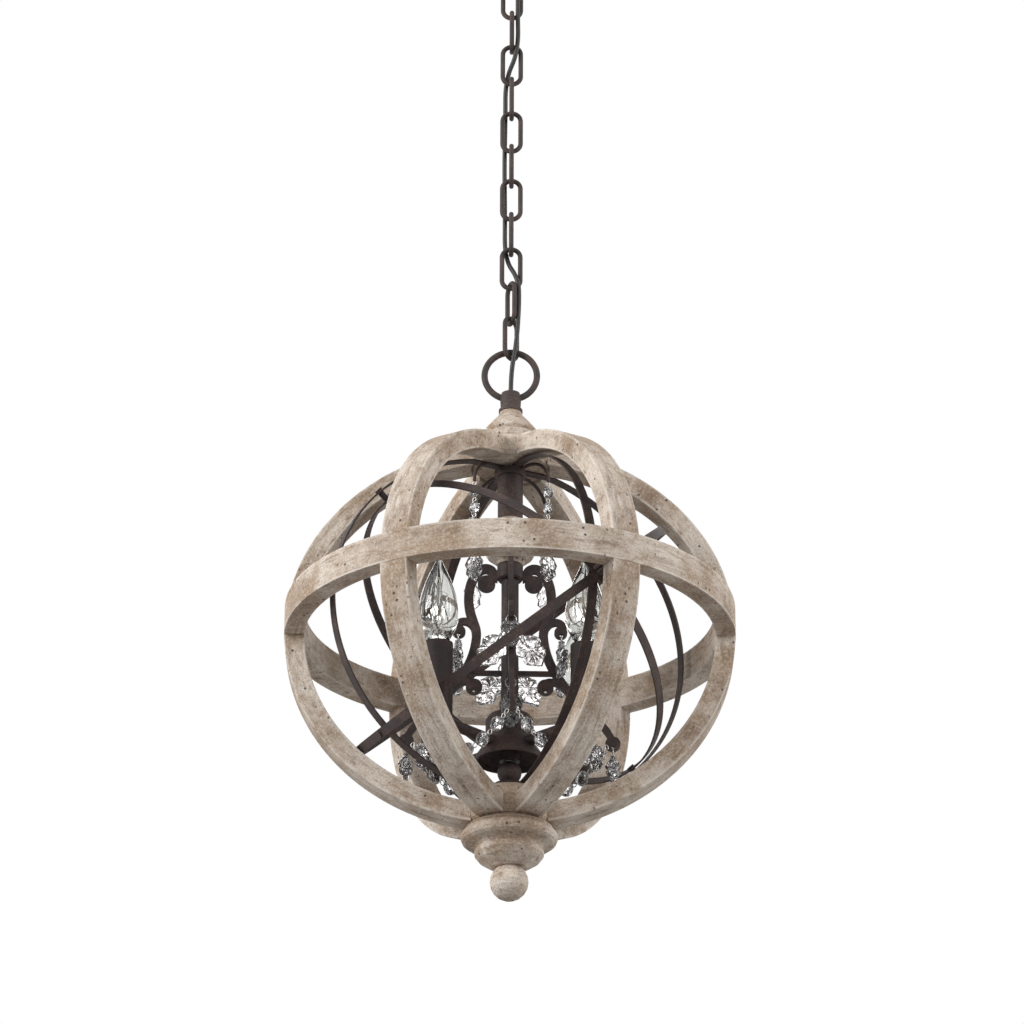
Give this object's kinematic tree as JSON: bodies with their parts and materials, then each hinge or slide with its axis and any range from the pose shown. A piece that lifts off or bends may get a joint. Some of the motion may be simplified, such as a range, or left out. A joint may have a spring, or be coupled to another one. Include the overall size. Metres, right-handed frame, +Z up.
{
  "type": "orb chandelier",
  "caption": "Pendant chandelier: an open sphere of bent wooden ribs round iron bands and a crystal-hung candle fitting, on a chain with a ceiling plate.",
  "frame": {"origin": "middle of the mounting bar's top face, in the plane of the ceiling", "axes": "+Z up out of the ceiling face, -Y towards the pictured front, +X to the right in the picture"},
  "size_m": [0.4059, 0.406, 1.0365],
  "materials": {
    "whitewashed_wood": "matt, limewashed and worn, pale grey-beige with brown grain",
    "rust_iron": "rough matt, dark rust brown",
    "hanging_metal": "satin, dark bronze brown",
    "plain_steel": "zinc plated",
    "crystal": "clear, faceted, polished",
    "bright_wire": "bright wire",
    "cord": "smooth black sheath, slight sheen",
    "socket_plastic": "matt black",
    "bulb_glass": "clear, smooth",
    "lamp_cap": "bright"
  },
  "bodies": {
    "canopy": {"crossbar": "plain_steel", "nipple": "plain_steel", "lock_nut": "plain_steel", "canopy": "hanging_metal", "canopy_loop": "hanging_metal"},
    "chain": {"chain": "hanging_metal", "cord_upper": "cord", "cord_lower": "cord"},
    "orb": {"dome_cap": "whitewashed_wood", "top_hub": "whitewashed_wood", "rib_1": "whitewashed_wood", "rib_2": "whitewashed_wood", "rib_3": "whitewashed_wood", "rib_4": "whitewashed_wood", "rib_5": "whitewashed_wood", "rib_6": "whitewashed_wood", "equator_hoop": "whitewashed_wood", "bottom_hub": "whitewashed_wood", "finial": "whitewashed_wood", "wood_vase": "whitewashed_wood", "band_outer": "rust_iron", "band_inner": "rust_iron", "band_upright": "rust_iron", "band_cross": "rust_iron", "band_rivets": "rust_iron", "band_screws": "rust_iron", "stem_collar": "rust_iron", "upper_stem": "rust_iron", "scroll_collar": "rust_iron", "lower_stem": "rust_iron", "scroll_plates": "rust_iron", "bell": "rust_iron", "candle_arms": "rust_iron", "candle_sleeves": "rust_iron", "ball_finial": "rust_iron", "bottom_cap": "rust_iron", "strand_hooks": "rust_iron", "loop_ring": "hanging_metal", "loop_collar": "hanging_metal", "tie_rod": "plain_steel", "swag_beads": "crystal", "strand_beads": "crystal", "crystal_rings": "bright_wire", "sockets": "socket_plastic"},
    "bulb_1": {"bulb_1": "bulb_glass", "bulb_screw_1": "lamp_cap"},
    "bulb_2": {"bulb_2": "bulb_glass", "bulb_screw_2": "lamp_cap"},
    "bulb_3": {"bulb_3": "bulb_glass", "bulb_screw_3": "lamp_cap"},
    "bulb_4": {"bulb_4": "bulb_glass", "bulb_screw_4": "lamp_cap"},
    "tab_drop_right": {"tab_drop_right": "crystal"},
    "tab_drop_left": {"tab_drop_left": "crystal"},
    "knob_drop_front": {"knob_drop_front": "crystal"},
    "knob_drop_rear": {"knob_drop_rear": "crystal"},
    "curl_drop_front": {"curl_drop_front": "crystal"},
    "curl_drop_right": {"curl_drop_right": "crystal"},
    "curl_drop_rear": {"curl_drop_rear": "crystal"},
    "curl_drop_left": {"curl_drop_left": "crystal"}
  },
  "joints": [
    {"name": "chain_swing", "type": "hinge", "parent": "canopy", "child": "chain", "pos_m": [0, 0, -0.065], "axis": [1, 0, 0], "range_deg": [-20, 20], "deforming": ["cord_upper"]},
    {"name": "orb_swing", "type": "hinge", "parent": "chain", "child": "orb", "pos_m": [0, 0, -0.50425], "axis": [0.6428, 0.766, 0], "range_deg": [-15, 15], "deforming": ["cord_lower"]},
    {"name": "bulb_1_out", "type": "slide", "parent": "orb", "child": "bulb_1", "axis": [0, 0, 1], "range_m": [0, 0.025]},
    {"name": "bulb_2_out", "type": "slide", "parent": "orb", "child": "bulb_2", "axis": [0, 0, 1], "range_m": [0, 0.025]},
    {"name": "bulb_3_out", "type": "slide", "parent": "orb", "child": "bulb_3", "axis": [0, 0, 1], "range_m": [0, 0.025]},
    {"name": "bulb_4_out", "type": "slide", "parent": "orb", "child": "bulb_4", "axis": [0, 0, 1], "range_m": [0, 0.025]},
    {"name": "tab_right_swing", "type": "hinge", "parent": "orb", "child": "tab_drop_right", "pos_m": [0.09197, 0.00241, -0.8928], "axis": [0.0262, -0.9997, 0], "range_deg": [-25, 2]},
    {"name": "tab_left_swing", "type": "hinge", "parent": "orb", "child": "tab_drop_left", "pos_m": [-0.09197, -0.00241, -0.8928], "axis": [-0.0262, 0.9997, 0], "range_deg": [-25, 2]},
    {"name": "knob_front_swing", "type": "hinge", "parent": "orb", "child": "knob_drop_front", "pos_m": [0.00084, -0.03199, -0.8399], "axis": [-0.9997, -0.0262, 0], "range_deg": [-6, 20]},
    {"name": "knob_rear_swing", "type": "hinge", "parent": "orb", "child": "knob_drop_rear", "pos_m": [-0.00084, 0.03199, -0.8399], "axis": [0.9997, 0.0262, 0], "range_deg": [-6, 20]},
    {"name": "curl_front_swing", "type": "hinge", "parent": "orb", "child": "curl_drop_front", "pos_m": [0.00121, -0.04628, -0.7851], "axis": [-0.9997, -0.0262, 0], "range_deg": [0, 20]},
    {"name": "curl_right_swing", "type": "hinge", "parent": "orb", "child": "curl_drop_right", "pos_m": [0.04628, 0.00121, -0.7851], "axis": [0.0262, -0.9997, 0], "range_deg": [0, 20]},
    {"name": "curl_rear_swing", "type": "hinge", "parent": "orb", "child": "curl_drop_rear", "pos_m": [-0.00121, 0.04628, -0.7851], "axis": [0.9997, 0.0262, 0], "range_deg": [0, 20]},
    {"name": "curl_left_swing", "type": "hinge", "parent": "orb", "child": "curl_drop_left", "pos_m": [-0.04628, -0.00121, -0.7851], "axis": [-0.0262, 0.9997, 0], "range_deg": [0, 20]}
  ]
}
